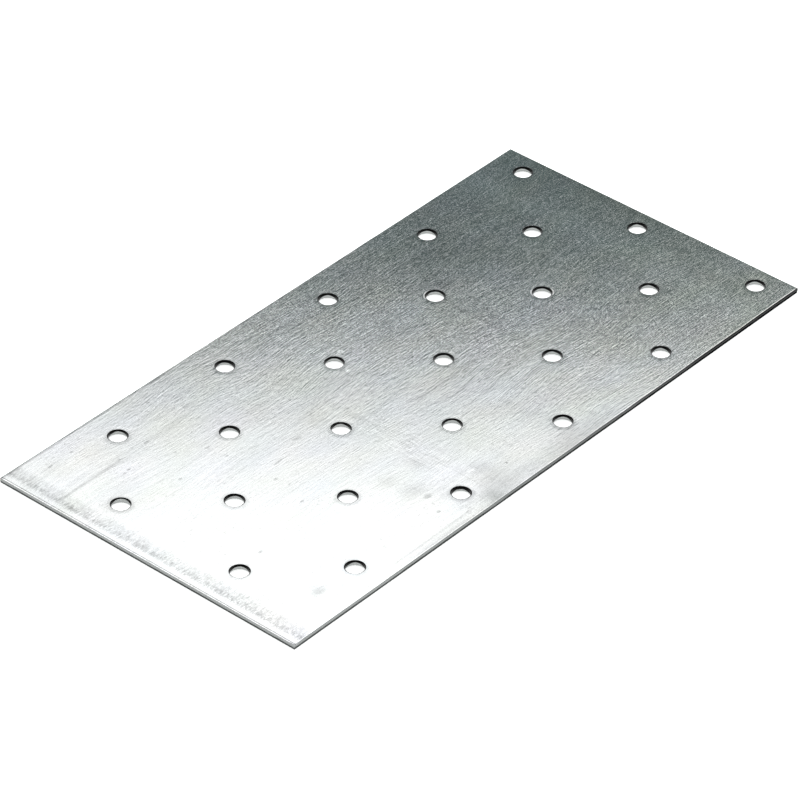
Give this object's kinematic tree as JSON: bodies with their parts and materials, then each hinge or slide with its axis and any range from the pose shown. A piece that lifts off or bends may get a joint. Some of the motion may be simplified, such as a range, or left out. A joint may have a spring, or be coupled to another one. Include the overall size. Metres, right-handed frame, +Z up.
{
  "type": "mending plate",
  "caption": "Flat rectangular steel nailing plate, perforated with staggered round nail holes, for joining two timbers side by side or end to end.",
  "frame": {"origin": "centre of the underside, the face that lies on the timber", "axes": "+X along the length, towards the end whose last column of holes is nearer the edge; +Y across the width, towards the side with the wider margin; +Z up, out of the top face, from which the plate was punched and is nailed"},
  "size_m": [0.199, 0.099, 0.0015],
  "materials": {
    "galvanised_steel": "zinc-coated sheet, fine grain along the length"
  },
  "bodies": {
    "root": {"mending_plate": "galvanised_steel"}
  },
  "joints": []
}
